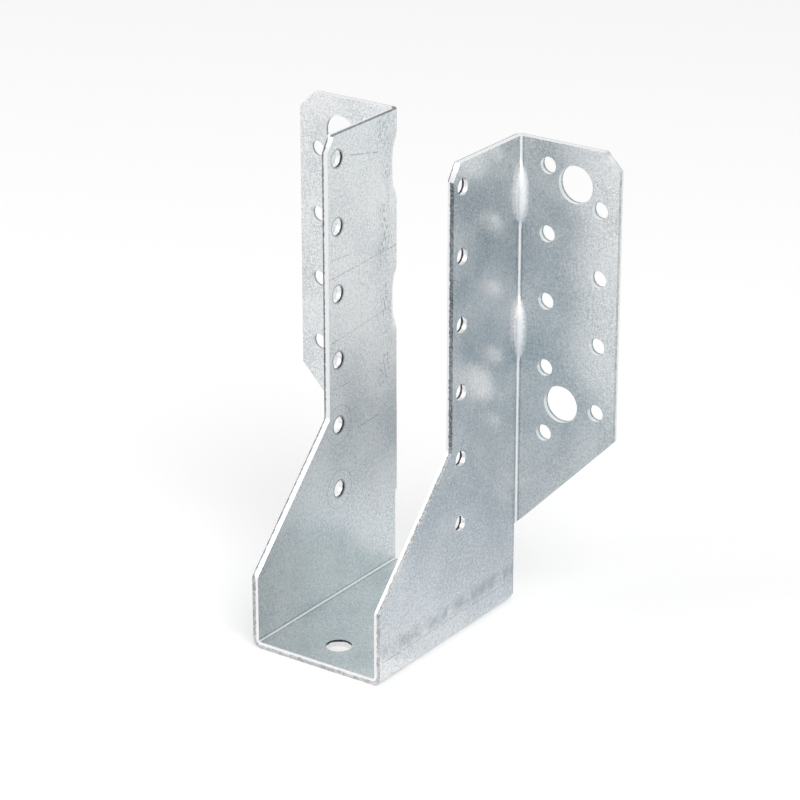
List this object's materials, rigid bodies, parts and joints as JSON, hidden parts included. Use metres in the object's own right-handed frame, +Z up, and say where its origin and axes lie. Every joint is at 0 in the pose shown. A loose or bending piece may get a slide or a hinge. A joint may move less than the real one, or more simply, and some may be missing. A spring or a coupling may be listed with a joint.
{
  "type": "joist hanger",
  "caption": "Folded sheet joist hanger: a U-shaped seat with sloping side plates, outward header flanges, pressed beads across the folds, nail and bolt holes.",
  "frame": {"origin": "middle of the footprint, on the underside of the seat", "axes": "+Z up the side plates, +Y towards the header that the flanges are nailed to, +X to the right seen from the joist"},
  "size_m": [0.108, 0.07, 0.142],
  "materials": {
    "galvanised_sheet": "dull zinc coating"
  },
  "bodies": {
    "root": {"joist_hanger": "galvanised_sheet"}
  },
  "joints": []
}
